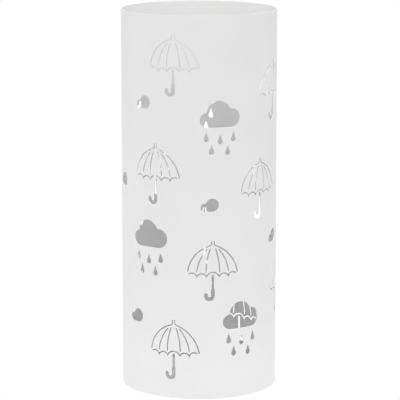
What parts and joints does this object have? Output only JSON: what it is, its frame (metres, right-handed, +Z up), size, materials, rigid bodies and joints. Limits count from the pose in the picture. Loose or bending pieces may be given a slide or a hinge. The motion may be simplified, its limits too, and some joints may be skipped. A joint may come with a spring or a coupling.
{
  "type": "umbrella stand",
  "caption": "Tall round umbrella stand in white powder-coated sheet steel, with umbrella and rain cloud cut-outs and a lift-out drip tray.",
  "frame": {"origin": "centre of the stand's foot, at floor level", "axes": "+Z up along the tube's axis; the front faces -Y, and +X is to the right seen from the front"},
  "size_m": [0.2, 0.2, 0.49],
  "materials": {
    "powder_coat_white": "satin powder coat",
    "tray_plastic": "moulded",
    "pad_foam": "matt closed-cell foam"
  },
  "bodies": {
    "stand": {"body_shell": "powder_coat_white", "seam_weld": "powder_coat_white", "base_plate": "powder_coat_white", "floor_pad_right_rear": "pad_foam", "floor_pad_left_rear": "pad_foam", "floor_pad_left_front": "pad_foam", "floor_pad_right_front": "pad_foam"},
    "tray": {"drip_tray": "tray_plastic"}
  },
  "joints": [
    {"name": "tray_lift", "type": "slide", "parent": "stand", "child": "tray", "axis": [0, 0, 1], "range_m": [0, 0.5]}
  ]
}
